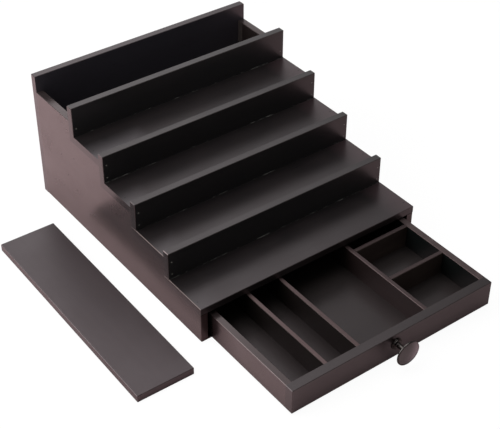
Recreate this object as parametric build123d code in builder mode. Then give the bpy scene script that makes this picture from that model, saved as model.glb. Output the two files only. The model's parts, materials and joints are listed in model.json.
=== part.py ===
from build123d import *
import os

# Stepped display organizer: four tiers of treads and risers between stepped side panels,
# a divided drawer under the front tiers and a hidden compartment at the back. The lid of the
# compartment is lifted off and lies on the table to the left of the case.
# All sizes are millimetres. X is the width, the front faces -Y and Z is up. The origin is the
# middle of the case at table height.

# Case
CASE_WIDTH = 300.0
BOARD = 9.0
PANEL = 2.0
EASED_EDGE = 0.5

# Tiers, counted from the front
TIERS = 4
TIER_DEPTH = 63.0
TIER_RISE = 27.0
FIRST_TREAD_TOP = 46.0
FIRST_RISER_SETBACK = 59.5
RISER_LIP = 8.0

# Hidden compartment behind the last riser
COMPARTMENT_DEPTH = 73.5
TOP_RISER_LIP = 11.0
BACK_LIP = 12.0

# Lid, and where it lies beside the case
LID_END_PLAY = 1.0
LID_SIDE_PLAY = 2.25
LID_TABLE_GAP = 33.0
LID_TABLE_LEAD = 34.5
LID_TURN = -0.5

# Drawer
DRAWER_OPEN = 140.0
DRAWER_SIDE_GAP = 3.0
DRAWER_TOP_GAP = 2.8
DRAWER_RUN_GAP = 0.3
DRAWER_BACK_GAP = 0.5
DRAWER_FRONT_THICKNESS = 11.0
DRAWER_BOARD = 8.0
DRAWER_PANEL = 3.0

# Dividers of the drawer
DIVIDER = 5.0
FIRST_COLUMN = 41.0
SECOND_COLUMN = 38.0
SMALL_BOX_COLUMN = 77.0
FIRST_SMALL_BOX = 57.0
SMALL_BOX_PITCH = 59.0
CROSS_DIVIDERS = 3

# Knob
KNOB_RAISE = 2.5
KNOB_HEAD_RADIUS = 15.0
KNOB_HEAD_EDGE = 1.9
KNOB_HEAD_BEVEL = 0.6
KNOB_DOME = 2.4
KNOB_UNDERCUT = 2.6
KNOB_REACH = 21.4
KNOB_STEM_RADIUS = 2.8
KNOB_STEM_FLARE = 2.0
KNOB_ROSE_RADIUS = 7.0
KNOB_ROSE_EDGE = 1.4
KNOB_ROSE_STEP = 1.2
KNOB_ROSE_THICKNESS = 2.4

# Screw and washer that hold the knob
SCREW_RADIUS = 1.9
SCREW_LENGTH = 18.0
SCREW_TIP_GAP = 2.5
SCREW_HEAD_RADIUS = 3.8
SCREW_HEAD_HEIGHT = 2.4
SCREW_SLOT_WIDTH = 1.0
SCREW_SLOT_DEPTH = 1.2
WASHER_RADIUS = 4.8
WASHER_THICKNESS = 0.8
SCREW_PLAY = 0.05

# Flat wire brads that nail the boards together
BRAD_WIDTH = 1.5
BRAD_THICKNESS = 1.2
BRAD_PLAY = 0.03
RISER_BRAD_LENGTH = 18.0
TREAD_BRAD_LENGTH = 22.0
PANEL_BRAD_LENGTH = 24.0
RISER_BRAD_HEIGHT = 6.0
TOP_RISER_BRAD_DROP = 8.0
FRONT_TREAD_BRAD_SETBACK = 12.0
TREAD_BRAD_SETBACK = 18.0
WALL_BRAD_HEIGHTS = (50.0, 95.0)
BACK_BRAD_HEIGHTS = (30.0, 80.0, 130.0)
DRAWER_BRAD_INSET = 8.0

# Places that follow from the sizes above
half_width = CASE_WIDTH / 2
half_inside = half_width - BOARD
case_depth = FIRST_RISER_SETBACK + (TIERS - 1) * TIER_DEPTH + BOARD + COMPARTMENT_DEPTH + BOARD
front_y = -case_depth / 2
rear_y = case_depth / 2
back_panel_y = rear_y - BOARD
tread_tops = [FIRST_TREAD_TOP + tier * TIER_RISE for tier in range(TIERS + 1)]
riser_fronts = [front_y + FIRST_RISER_SETBACK + tier * TIER_DEPTH for tier in range(TIERS)]
tread_fronts = [front_y] + [y + BOARD for y in riser_fronts[:-1]]
riser_tops = [top + RISER_LIP for top in tread_tops[1:TIERS]] + [tread_tops[TIERS] + TOP_RISER_LIP]
lid_seat = tread_tops[TIERS] - BOARD
back_top = tread_tops[TIERS] + BACK_LIP

drawer_half_width = half_inside - DRAWER_SIDE_GAP
drawer_half_inside = drawer_half_width - DRAWER_BOARD
drawer_base = PANEL + DRAWER_RUN_GAP
drawer_floor = drawer_base + DRAWER_PANEL
drawer_top = FIRST_TREAD_TOP - BOARD - DRAWER_TOP_GAP
drawer_depth = riser_fronts[-1] - front_y - DRAWER_BACK_GAP
drawer_front_y = front_y - DRAWER_OPEN
drawer_inside_y = drawer_front_y + DRAWER_FRONT_THICKNESS
drawer_back_y = drawer_front_y + drawer_depth - DRAWER_BOARD
knob_height = (drawer_base + drawer_top) / 2 + KNOB_RAISE

# What starts at a seat and runs into the wood
FROM_SEAT = (Align.CENTER, Align.CENTER, Align.MAX)

os.makedirs("parts", exist_ok=True)


def write_piece(piece, name):
    """Labels a finished piece and writes its file."""
    piece.part.label = name
    export_step(piece.part, f"parts/{name}.step")


def board(low, high):
    """One plain board between two opposite corners."""
    with BuildPart() as piece:
        with BuildSketch(Plane.XY.offset(low[2])):
            with Locations(((low[0] + high[0]) / 2, (low[1] + high[1]) / 2)):
                Rectangle(high[0] - low[0], high[1] - low[1])
        extrude(amount=high[2] - low[2])
    return piece


def ease(piece, edges):
    """Takes the sharpness off the named edges of a board."""
    with piece:
        chamfer(edges, EASED_EDGE)


def pierce(piece, seats, length):
    """Cuts a brad's slot at each seat, whose Z axis points out of the slot's mouth."""
    slot_width = BRAD_WIDTH + 2 * BRAD_PLAY
    slot_thickness = BRAD_THICKNESS + 2 * BRAD_PLAY
    with piece:
        with Locations(*seats):
            Box(slot_width, slot_thickness, length, align=FROM_SEAT, mode=Mode.SUBTRACT)


def brads(seats, length):
    """One brad at each seat, its head flush with the board."""
    with BuildPart() as group:
        with Locations(*seats):
            Box(BRAD_WIDTH, BRAD_THICKNESS, length, align=FROM_SEAT)
    return group


# Brad seats
brad_x = half_width - BOARD / 2
riser_seats = []
for tier in range(TIERS - 1):
    for x in (-brad_x, brad_x):
        for z in (tread_tops[tier] + RISER_BRAD_HEIGHT, tread_tops[tier + 1] - BOARD / 2):
            riser_seats.append(Plane((x, riser_fronts[tier], z), x_dir=(1, 0, 0), z_dir=(0, -1, 0)))
for x in (-brad_x, brad_x):
    top_brad = (x, riser_fronts[-1], lid_seat - TOP_RISER_BRAD_DROP)
    riser_seats.append(Plane(top_brad, x_dir=(1, 0, 0), z_dir=(0, -1, 0)))

tread_seats = []
for tier in range(TIERS):
    setback = FRONT_TREAD_BRAD_SETBACK if tier == 0 else TREAD_BRAD_SETBACK
    for x in (-brad_x, brad_x):
        tread_seats.append(Plane((x, tread_fronts[tier] + setback, tread_tops[tier])))

wall_y = riser_fronts[-1] + BOARD / 2
drawer_brad_y = drawer_back_y + DRAWER_BOARD / 2
drawer_brad_heights = (drawer_base + DRAWER_BRAD_INSET, drawer_top - DRAWER_BRAD_INSET)


def seats_in_side(x, y, heights):
    """Seats one above the other on an outer side face, facing away from the middle."""
    outwards = 1 if x > 0 else -1
    return [Plane((x, y, z), x_dir=(0, 1, 0), z_dir=(outwards, 0, 0)) for z in heights]


left_wall_seats = seats_in_side(-half_width, wall_y, WALL_BRAD_HEIGHTS)
right_wall_seats = seats_in_side(half_width, wall_y, WALL_BRAD_HEIGHTS)
left_drawer_seats = seats_in_side(-drawer_half_width, drawer_brad_y, drawer_brad_heights)
right_drawer_seats = seats_in_side(drawer_half_width, drawer_brad_y, drawer_brad_heights)

back_seats = []
for x in (-brad_x, brad_x):
    for z in BACK_BRAD_HEIGHTS:
        back_seats.append(Plane((x, rear_y, z), x_dir=(1, 0, 0), z_dir=(0, 1, 0)))


# Side panels, stepped one board lower than the treads that lie on them
def side_outline():
    """Corner points of a side panel as (Y, Z), from the bottom front corner round over the steps."""
    points = [(front_y, 0), (front_y, FIRST_TREAD_TOP - BOARD)]
    for tier in range(TIERS):
        step_y = riser_fronts[tier] + BOARD
        points += [(step_y, tread_tops[tier] - BOARD), (step_y, tread_tops[tier + 1] - BOARD)]
    return points + [(back_panel_y, lid_seat), (back_panel_y, 0)]


def side_panel(inner_x, outer_x, wall_seats):
    """One stepped side panel between its inner and outer faces."""
    with BuildPart() as panel:
        with BuildSketch(Plane.YZ.offset(min(inner_x, outer_x))):
            with BuildLine():
                Polyline(*side_outline(), close=True)
            make_face()
        extrude(amount=BOARD)
        bottom_edges = panel.edges().filter_by(Axis.Y).group_by(Axis.Z)[0]
        seat_edges = panel.edges().filter_by(Axis.Y).group_by(Axis.Z)[-1]
        front_edges = panel.edges().filter_by(Axis.Z).group_by(Axis.Y)[0]
        outer_bottom = bottom_edges.sort_by(lambda edge: abs(edge.center().X))[-1]
        chamfer(seat_edges + front_edges + [outer_bottom], EASED_EDGE)
    pierce(panel, riser_seats, RISER_BRAD_LENGTH)
    pierce(panel, tread_seats, TREAD_BRAD_LENGTH)
    pierce(panel, wall_seats, PANEL_BRAD_LENGTH)
    pierce(panel, back_seats, PANEL_BRAD_LENGTH)
    return panel


write_piece(side_panel(-half_inside, -half_width, left_wall_seats), "left_side_panel")
write_piece(side_panel(half_inside, half_width, right_wall_seats), "right_side_panel")

# Back panel across the full width, behind the side panels
back_panel = board((-half_width, back_panel_y, 0), (half_width, rear_y, back_top))
back_top_edges = back_panel.edges().group_by(Axis.Z)[-1]
ease(back_panel, back_top_edges + back_panel.edges().filter_by(Axis.Z).group_by(Axis.Y)[-1])
pierce(back_panel, back_seats, PANEL_BRAD_LENGTH)
write_piece(back_panel, "back_panel")

# Bottom panel, let in between the side panels, that the drawer runs on
bottom_panel = board((-half_inside, front_y, 0), (half_inside, back_panel_y, PANEL))
write_piece(bottom_panel, "bottom_panel")

# Wall between the drawer space and the hidden compartment, under the last tread
wall_top = tread_tops[TIERS - 1] - BOARD
compartment_wall = board(
    (-half_inside, riser_fronts[-1], PANEL), (half_inside, riser_fronts[-1] + BOARD, wall_top)
)
pierce(compartment_wall, left_wall_seats + right_wall_seats, PANEL_BRAD_LENGTH)
write_piece(compartment_wall, "compartment_wall")

# Treads and risers
for tier in range(TIERS):
    riser_back = riser_fronts[tier] + BOARD
    tread_top = tread_tops[tier]
    tread = board((-half_width, tread_fronts[tier], tread_top - BOARD), (half_width, riser_back, tread_top))
    if tier == 0:
        ease(tread, tread.edges().filter_by(Axis.X).group_by(Axis.Y)[0])
    pierce(tread, tread_seats, TREAD_BRAD_LENGTH)
    pierce(tread, riser_seats, RISER_BRAD_LENGTH)
    write_piece(tread, f"tread_{tier + 1}")

    riser = board((-half_width, riser_fronts[tier], tread_top), (half_width, riser_back, riser_tops[tier]))
    top_edges = riser.edges().group_by(Axis.Z)[-1]
    ease(riser, top_edges + riser.edges().filter_by(Axis.Z).group_by(Axis.Y)[0])
    pierce(riser, riser_seats, RISER_BRAD_LENGTH)
    write_piece(riser, f"riser_{tier + 1}")

write_piece(brads(riser_seats, RISER_BRAD_LENGTH), "riser_brads")
write_piece(brads(tread_seats, TREAD_BRAD_LENGTH), "tread_brads")
write_piece(brads(left_wall_seats + right_wall_seats, PANEL_BRAD_LENGTH), "wall_brads")
write_piece(brads(back_seats, PANEL_BRAD_LENGTH), "back_brads")

# Lid of the compartment, lying on the table beside the case and turned a little from it
lid_width = COMPARTMENT_DEPTH - 2 * LID_SIDE_PLAY
lid_length = CASE_WIDTH - 2 * LID_END_PLAY
lid_corner = (-half_width - LID_TABLE_GAP, front_y - LID_TABLE_LEAD)
with BuildPart() as lid:
    with BuildSketch(Plane(lid_corner).rotated((0, 0, LID_TURN))):
        Rectangle(lid_width, lid_length, align=(Align.MAX, Align.MIN))
    extrude(amount=BOARD)
    chamfer(lid.edges(), EASED_EDGE)
write_piece(lid, "compartment_lid")

# Drawer box
knob_seat = Plane((0, drawer_front_y, knob_height), x_dir=(1, 0, 0), z_dir=(0, -1, 0))
drawer_front = board(
    (-drawer_half_width, drawer_front_y, drawer_base), (drawer_half_width, drawer_inside_y, drawer_top)
)
face_edges = drawer_front.faces().sort_by(Axis.Y)[0].edges()
ease(drawer_front, face_edges + drawer_front.edges().filter_by(Axis.Y))
with drawer_front:
    with Locations(knob_seat):
        Cylinder(SCREW_RADIUS + SCREW_PLAY, DRAWER_FRONT_THICKNESS, align=FROM_SEAT, mode=Mode.SUBTRACT)
write_piece(drawer_front, "drawer_front")


def drawer_side(inner_x, outer_x, seats):
    """One side of the drawer, butted against the back of its front."""
    low = (min(inner_x, outer_x), drawer_inside_y, drawer_base)
    high = (max(inner_x, outer_x), drawer_back_y + DRAWER_BOARD, drawer_top)
    side = board(low, high)
    lengthwise = side.edges().filter_by(Axis.Y)
    outer_bottom = lengthwise.group_by(Axis.Z)[0].sort_by(lambda edge: abs(edge.center().X))[-1]
    ease(side, lengthwise.group_by(Axis.Z)[-1] + [outer_bottom])
    pierce(side, seats, PANEL_BRAD_LENGTH)
    return side


write_piece(drawer_side(-drawer_half_inside, -drawer_half_width, left_drawer_seats), "drawer_left_side")
write_piece(drawer_side(drawer_half_inside, drawer_half_width, right_drawer_seats), "drawer_right_side")

drawer_rear_y = drawer_back_y + DRAWER_BOARD
drawer_back = board(
    (-drawer_half_inside, drawer_back_y, drawer_base), (drawer_half_inside, drawer_rear_y, drawer_top)
)
ease(drawer_back, drawer_back.edges().filter_by(Axis.X).group_by(Axis.Z)[-1])
pierce(drawer_back, left_drawer_seats + right_drawer_seats, PANEL_BRAD_LENGTH)
write_piece(drawer_back, "drawer_back")
write_piece(brads(left_drawer_seats + right_drawer_seats, PANEL_BRAD_LENGTH), "drawer_brads")

drawer_bottom = board(
    (-drawer_half_inside, drawer_inside_y, drawer_base), (drawer_half_inside, drawer_back_y, drawer_floor)
)
write_piece(drawer_bottom, "drawer_bottom")

# Dividers that run from the front to the back of the drawer
first_divider_x = -drawer_half_inside + FIRST_COLUMN
second_divider_x = first_divider_x + DIVIDER + SECOND_COLUMN
third_divider_x = drawer_half_inside - SMALL_BOX_COLUMN - DIVIDER
for number, divider_x in enumerate((first_divider_x, second_divider_x, third_divider_x), start=1):
    low = (divider_x, drawer_inside_y, drawer_floor)
    high = (divider_x + DIVIDER, drawer_back_y, drawer_top)
    divider = board(low, high)
    ease(divider, divider.edges().filter_by(Axis.Y).group_by(Axis.Z)[-1])
    write_piece(divider, f"long_divider_{number}")

# Cross dividers that part the right-hand column into small boxes
for number in range(CROSS_DIVIDERS):
    divider_y = drawer_inside_y + FIRST_SMALL_BOX + number * SMALL_BOX_PITCH
    low = (third_divider_x + DIVIDER, divider_y, drawer_floor)
    high = (drawer_half_inside, divider_y + DIVIDER, drawer_top)
    divider = board(low, high)
    ease(divider, divider.edges().filter_by(Axis.X).group_by(Axis.Z)[-1])
    write_piece(divider, f"cross_divider_{number + 1}")

# Knob: a round rose, a slim stem and a shallow domed head, turned about the screw's axis
turning_plane = Plane((0, drawer_front_y, knob_height), x_dir=(1, 0, 0), z_dir=(0, 0, -1))
turning_axis = Axis((0, drawer_front_y, knob_height), (0, -1, 0))
head_face_radius = KNOB_HEAD_RADIUS - KNOB_HEAD_BEVEL
head_front = KNOB_REACH - KNOB_DOME
head_back = head_front - KNOB_HEAD_EDGE
stem_top = head_back - KNOB_UNDERCUT
stem_top_radius = KNOB_STEM_RADIUS + KNOB_STEM_FLARE
dome_radius = (head_face_radius**2 + KNOB_DOME**2) / (2 * KNOB_DOME)
knob_bore_depth = SCREW_LENGTH - WASHER_THICKNESS - DRAWER_FRONT_THICKNESS + SCREW_TIP_GAP
with BuildPart() as drawer_knob:
    with BuildSketch(turning_plane):
        with BuildLine():
            Polyline(
                (0, KNOB_REACH),
                (0, 0),
                (KNOB_ROSE_RADIUS, 0),
                (KNOB_ROSE_RADIUS, KNOB_ROSE_EDGE),
                (KNOB_ROSE_RADIUS - KNOB_ROSE_STEP, KNOB_ROSE_THICKNESS),
                (KNOB_STEM_RADIUS + KNOB_ROSE_STEP, KNOB_ROSE_THICKNESS),
                (KNOB_STEM_RADIUS, KNOB_ROSE_THICKNESS + KNOB_ROSE_STEP),
                (KNOB_STEM_RADIUS, stem_top - KNOB_STEM_FLARE),
                (stem_top_radius, stem_top),
                (head_face_radius, head_back),
                (KNOB_HEAD_RADIUS, head_back + KNOB_HEAD_BEVEL),
                (KNOB_HEAD_RADIUS, head_front - KNOB_HEAD_BEVEL),
                (head_face_radius, head_front),
            )
            RadiusArc((head_face_radius, head_front), (0, KNOB_REACH), -dome_radius)
        make_face()
    revolve(axis=turning_axis)
    with Locations(Plane((0, drawer_front_y, knob_height), x_dir=(1, 0, 0), z_dir=(0, 1, 0))):
        Cylinder(SCREW_RADIUS + SCREW_PLAY, knob_bore_depth, align=FROM_SEAT, mode=Mode.SUBTRACT)
write_piece(drawer_knob, "drawer_knob")

# Screw through the drawer front into the knob, with its washer inside the drawer
with BuildPart() as knob_washer:
    with BuildSketch(Plane((0, drawer_inside_y, knob_height), x_dir=(1, 0, 0), z_dir=(0, 1, 0))):
        Circle(WASHER_RADIUS)
        Circle(SCREW_RADIUS + SCREW_PLAY, mode=Mode.SUBTRACT)
    extrude(amount=WASHER_THICKNESS)
write_piece(knob_washer, "knob_washer")

screw_plane = Plane((0, drawer_inside_y + WASHER_THICKNESS, knob_height), x_dir=(1, 0, 0), z_dir=(0, 1, 0))
with BuildPart() as knob_screw:
    with BuildSketch(screw_plane):
        Circle(SCREW_HEAD_RADIUS)
    extrude(amount=SCREW_HEAD_HEIGHT)
    chamfer(knob_screw.edges().filter_by(GeomType.CIRCLE).sort_by(Axis.Y)[-1], SCREW_HEAD_HEIGHT / 3)
    with BuildSketch(screw_plane):
        Circle(SCREW_RADIUS)
    extrude(amount=-SCREW_LENGTH)
    with BuildSketch(screw_plane.offset(SCREW_HEAD_HEIGHT)):
        Rectangle(SCREW_HEAD_RADIUS, SCREW_SLOT_WIDTH)
        Rectangle(SCREW_SLOT_WIDTH, SCREW_HEAD_RADIUS)
    extrude(amount=-SCREW_SLOT_DEPTH, mode=Mode.SUBTRACT)
write_piece(knob_screw, "knob_screw")
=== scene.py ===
# %% [markdown]
# # A stepped display organizer with a drawer
#
# The real thing is a small piece of joinery: thin boards, nailed together with wire brads and sprayed with a
# black-brown satin lacquer. Four treads climb to a hidden compartment at the back, and a shallow drawer with
# one metal knob runs under the front of them. The boards already exist, to the millimetre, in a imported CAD
# frame. This lesson finishes them, turns a smooth knob, lays the glue that crept out of the joints, and
# lights the result like a product photograph on white paper.

# %% Load the fixed frame
import bpy
import bmesh
import json
from math import cos, pi, radians, sin, tan
from mathutils import Matrix, Vector


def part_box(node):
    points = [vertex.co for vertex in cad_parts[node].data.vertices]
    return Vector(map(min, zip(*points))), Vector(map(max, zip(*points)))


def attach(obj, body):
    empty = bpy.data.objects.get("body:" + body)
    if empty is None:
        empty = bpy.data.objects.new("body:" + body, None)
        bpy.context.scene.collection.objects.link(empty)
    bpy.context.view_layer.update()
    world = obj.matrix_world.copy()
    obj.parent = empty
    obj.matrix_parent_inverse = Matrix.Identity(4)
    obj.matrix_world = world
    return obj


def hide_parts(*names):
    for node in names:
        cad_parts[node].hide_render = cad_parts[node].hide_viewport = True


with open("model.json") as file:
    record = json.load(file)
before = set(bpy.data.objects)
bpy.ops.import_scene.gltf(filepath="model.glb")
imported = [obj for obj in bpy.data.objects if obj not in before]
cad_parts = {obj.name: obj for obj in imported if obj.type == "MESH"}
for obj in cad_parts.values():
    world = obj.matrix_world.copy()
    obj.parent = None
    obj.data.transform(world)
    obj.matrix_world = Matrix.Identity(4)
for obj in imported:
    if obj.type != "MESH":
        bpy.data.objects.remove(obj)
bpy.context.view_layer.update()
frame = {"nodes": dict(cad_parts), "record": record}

MM = 0.001

# %% [markdown]
# ## The camera
#
# A product photographer stands well back and uses a long lens, so that parallel boards stay nearly parallel.
# The place, the turn and the focal length below were worked out from the corners of the boards in the
# photograph. A camera in Blender looks down its own -Z axis, with X to the right and Y up, so its rotation
# is a matrix whose columns are those three directions. Building that matrix from a heading, a downward pitch
# and a slight roll keeps each number something that could be read off a tripod.

# %% Place the camera
PHOTO_WIDTH = 500
FOCAL_LENGTH_PX = 1221.07
SENSOR_WIDTH_MM = 36.0
CAMERA_PLACE = Vector((-0.674057, -0.956568, 0.90624))
HEADING = radians(36.775)
DOWNWARD_PITCH = radians(37.861)
ROLL = radians(0.2338)

level_ahead = Vector((sin(HEADING), cos(HEADING), 0.0))
level_right = Vector((cos(HEADING), -sin(HEADING), 0.0))
ahead = level_ahead * cos(DOWNWARD_PITCH) - Vector((0.0, 0.0, sin(DOWNWARD_PITCH)))
level_up = level_right.cross(ahead)
right = level_right * cos(ROLL) + level_up * sin(ROLL)
up = level_up * cos(ROLL) - level_right * sin(ROLL)

camera_data = bpy.data.cameras.new("product_camera")
camera_data.sensor_fit = "HORIZONTAL"
camera_data.sensor_width = SENSOR_WIDTH_MM
camera_data.lens = FOCAL_LENGTH_PX * SENSOR_WIDTH_MM / PHOTO_WIDTH
camera = bpy.data.objects.new("product_camera", camera_data)
camera_turn = Matrix((right, up, -ahead)).transposed().to_4x4()
camera.matrix_world = Matrix.Translation(CAMERA_PLACE) @ camera_turn
bpy.context.scene.collection.objects.link(camera)
bpy.context.scene.camera = camera
bpy.context.scene.view_settings.view_transform = "Standard"
print("lens in millimetres:", round(camera_data.lens, 2))

# %% [markdown]
# ## Helpers for shader nodes
#
# Every finish below is a small network of shader nodes. A few helpers keep the networks short: one adds a
# node and sets its options, one joins or fills an input socket, and two fill several sockets at once, in
# their order or by name.

# %% Node helpers
def add(tree, kind, **options):
    """Adds a node to a tree and sets its options."""
    node = tree.nodes.new(kind)
    for name, value in options.items():
        setattr(node, name, value)
    return node


def feed(tree, socket, source):
    """Fills an input socket with an output socket or with a plain value."""
    if isinstance(source, bpy.types.NodeSocket):
        tree.links.new(source, socket)
    elif source is not None:
        socket.default_value = source


def feed_all(tree, node, sources):
    """Fills the first input sockets of a node, in their order."""
    for socket, source in zip(node.inputs, sources):
        feed(tree, socket, source)
    return node


def feed_named(tree, node, **sources):
    """Fills input sockets by name. Underscores in the names stand for spaces."""
    for name, source in sources.items():
        feed(tree, node.inputs[name.replace("_", " ")], source)
    return node


print("node helpers are ready")

# %% [markdown]
# ## Helpers for node groups
#
# A node group is a recipe: it is built once, and each material uses it with its own values. Its sockets are
# named when it is started, so the materials can fill them by name.

# %% Group helpers
NUMBER = "NodeSocketFloat"
VECTOR = "NodeSocketVector"


def start_group(name, inputs, outputs):
    """Starts a shader node group. Inputs are (name, socket type, default), outputs are names of numbers."""
    group = bpy.data.node_groups.new(name, "ShaderNodeTree")
    for label, kind, value in inputs:
        socket = group.interface.new_socket(name=label, in_out="INPUT", socket_type=kind)
        if value is not None:
            socket.default_value = value
    for label in outputs:
        group.interface.new_socket(name=label, in_out="OUTPUT", socket_type=NUMBER)
    entry = add(group, "NodeGroupInput")
    leave = add(group, "NodeGroupOutput")
    print("group", name, "gives", outputs)
    return group, entry.outputs, leave.inputs


def place_group(tree, group, **values):
    """Places a group in a material and returns its outputs."""
    return feed_named(tree, add(tree, "ShaderNodeGroup", node_tree=group), **values).outputs


print("group helpers are ready")

# %% [markdown]
# ## Helpers for patterns
#
# A pattern is noise that is squeezed, cut off between two levels and mixed with other noise. Each of these
# helpers makes the one node that does such a step and returns its output, ready for the next step.

# %% Pattern helpers
def maths(tree, operation, first, second=None, third=None, clamp=False):
    """One Math node. Its inputs are sockets or numbers."""
    node = add(tree, "ShaderNodeMath", operation=operation, use_clamp=clamp)
    return feed_all(tree, node, (first, second, third)).outputs[0]


def vector_maths(tree, operation, first, second):
    """One Vector Math node with a vector result."""
    node = add(tree, "ShaderNodeVectorMath", operation=operation)
    return feed_all(tree, node, (first, second)).outputs[0]


def remap(tree, value, low, high, new_low=0.0, new_high=1.0, smooth=False):
    """A Map Range node that clamps, from low..high to new_low..new_high."""
    node = add(tree, "ShaderNodeMapRange", interpolation_type="SMOOTHSTEP" if smooth else "LINEAR")
    return feed_all(tree, node, (value, low, high, new_low, new_high)).outputs[0]


def noise(tree, vector, scale, detail=2.0, roughness=0.5, distortion=0.0):
    """A Noise Texture, read at a vector. The scale counts features per metre."""
    node = add(tree, "ShaderNodeTexNoise")
    feed_named(tree, node, Vector=vector, Scale=scale, Detail=detail, Roughness=roughness,
               Distortion=distortion)
    return node.outputs["Fac"]


def stretched_noise(tree, vector, per_metre, **options):
    """Noise with its own number of features per metre along X, Y and Z."""
    return noise(tree, vector_maths(tree, "MULTIPLY", vector, per_metre), 1.0, **options)


print("pattern helpers are ready")

# %% [markdown]
# ## The grain of the boards
#
# Lacquer hides the colour of wood but not its texture: fibres and pores run along each board and show as
# fine streaks in the sheen. Noise that is stretched along one axis gives such streaks. The group takes a
# vector whose X runs along the grain, so a Mapping node in each material can turn it for boards that lie
# another way. Three scales are mixed: the broad figure of the growth rings, the fibres, and short thin pores.

# %% Group: grain
FIGURE_PER_METRE = (5.0, 70.0, 70.0)
FIBRES_PER_METRE = (22.0, 620.0, 620.0)
PORES_PER_METRE = (110.0, 1900.0, 1900.0)
FIGURE_LEVELS = (0.2, 0.8)
FIBRE_LEVELS = (0.25, 0.75)
PORE_LEVELS = (0.62, 0.74)
FIBRE_RISE = 0.6
PORE_DEPTH = 0.5

grain_group, given, result = start_group(
    "board_grain", [("Vector", VECTOR, None)], ["Figure", "Fibres", "Pores", "Height"])
tree = grain_group
along = given["Vector"]
figure = stretched_noise(tree, along, FIGURE_PER_METRE, detail=3.0, roughness=0.55, distortion=0.5)
fibres = stretched_noise(tree, along, FIBRES_PER_METRE, detail=3.0, roughness=0.6)
pore_field = stretched_noise(tree, along, PORES_PER_METRE, detail=1.0, roughness=0.4)
pores = remap(tree, pore_field, *PORE_LEVELS)
fibre_height = maths(tree, "MULTIPLY", fibres, FIBRE_RISE)
height = maths(tree, "SUBTRACT", fibre_height, maths(tree, "MULTIPLY", pores, PORE_DEPTH))
feed(tree, result["Figure"], remap(tree, figure, *FIGURE_LEVELS))
feed(tree, result["Fibres"], remap(tree, fibres, *FIBRE_LEVELS))
feed(tree, result["Pores"], pores)
feed(tree, result["Height"], height)

# %% [markdown]
# ## Which face is this?
#
# A board has two broad faces, thin cut edges, and arrises that were eased with sandpaper before spraying.
# The lacquer sinks into cut edges and dries dull on end grain, so each has its own look. The arrises get a
# painted highlight: a lighter colour that stands in for the light they catch. All boards here lie square to
# the axes, so the face normal tells them apart. On an arris no part of the normal comes near 1. On a cut edge
# the part along the board's thin axis is 0, and on end grain the part along the grain is 1.

# %% Group: faces of a board
def dot(tree, vector, direction):
    """How far a vector points in a direction: a dot product."""
    node = add(tree, "ShaderNodeVectorMath", operation="DOT_PRODUCT")
    return feed_all(tree, node, (vector, direction)).outputs["Value"]


def split(tree, vector):
    """The X, Y and Z of a vector."""
    return feed_all(tree, add(tree, "ShaderNodeSeparateXYZ"), (vector,)).outputs[:3]


SQUARE_NORMAL = 0.98
SLANTED_NORMAL = 0.8
PATCHES_PER_METRE = 160.0
PATCH_LEVELS = (0.35, 0.65)

face_group, given, result = start_group(
    "board_faces",
    [("Normal", VECTOR, None), ("Thin Axis", VECTOR, (0.0, 0.0, 1.0)),
     ("Grain Axis", VECTOR, (1.0, 0.0, 0.0)), ("Vector", VECTOR, None)],
    ["Arris", "Cut Edge", "End"])
tree = face_group
sizes = [maths(tree, "ABSOLUTE", part) for part in split(tree, given["Normal"])]
largest = maths(tree, "MAXIMUM", maths(tree, "MAXIMUM", sizes[0], sizes[1]), sizes[2])
slanted = remap(tree, largest, SQUARE_NORMAL, SLANTED_NORMAL)
patches = noise(tree, given["Vector"], PATCHES_PER_METRE, detail=3.0, roughness=0.6)
patchy = remap(tree, patches, *PATCH_LEVELS, new_low=0.35)
along_thin = maths(tree, "ABSOLUTE", dot(tree, given["Normal"], given["Thin Axis"]))
along_grain = maths(tree, "ABSOLUTE", dot(tree, given["Normal"], given["Grain Axis"]))
feed(tree, result["Arris"], maths(tree, "MULTIPLY", slanted, patchy))
feed(tree, result["Cut Edge"], remap(tree, along_thin, 0.5, 0.1))
feed(tree, result["End"], remap(tree, along_grain, 0.5, 0.9))

# %% [markdown]
# ## Where on the board is this?
#
# Not every arris has its own small face, so a painted highlight is laid along the sharp ones as well. Every
# board is a box, and on its surface one of the three distances to the box's sides is near zero. Where the
# second smallest is near zero too, there is an edge: the second smallest of three numbers is their median.
# The width of the painted highlight wanders with noise.

# %% Group: edges of a box
def distances_inside(tree, sockets):
    """The distances along X, Y and Z to the nearer side of a box, positive inside it."""
    above = vector_maths(tree, "SUBTRACT", sockets["Position"], sockets["Low"])
    below = vector_maths(tree, "SUBTRACT", sockets["High"], sockets["Position"])
    return split(tree, vector_maths(tree, "MINIMUM", above, below))


BOX_SOCKETS = [
    ("Position", VECTOR, None), ("Low", VECTOR, (0.0, 0.0, 0.0)), ("High", VECTOR, (1.0, 1.0, 1.0))]
WOBBLES_PER_METRE = 130.0
WOBBLE_LEVELS = (0.35, 0.7)
HIGHLIGHT_WIDTHS = (0.1, 1.3)

edge_group, given, result = start_group("box_edges", BOX_SOCKETS + [("Width", NUMBER, 0.5 * MM)], ["Edge"])
tree = edge_group
x_gap, y_gap, z_gap = distances_inside(tree, given)
smaller = maths(tree, "MINIMUM", x_gap, y_gap)
larger = maths(tree, "MAXIMUM", x_gap, y_gap)
median = maths(tree, "MAXIMUM", smaller, maths(tree, "MINIMUM", larger, z_gap))
wobbles = noise(tree, given["Position"], WOBBLES_PER_METRE, detail=3.0, roughness=0.65)
wander = remap(tree, wobbles, *WOBBLE_LEVELS, *HIGHLIGHT_WIDTHS)
width = maths(tree, "MULTIPLY", given["Width"], wander)
feed(tree, result["Edge"], remap(tree, median, width, 0.0))
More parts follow.
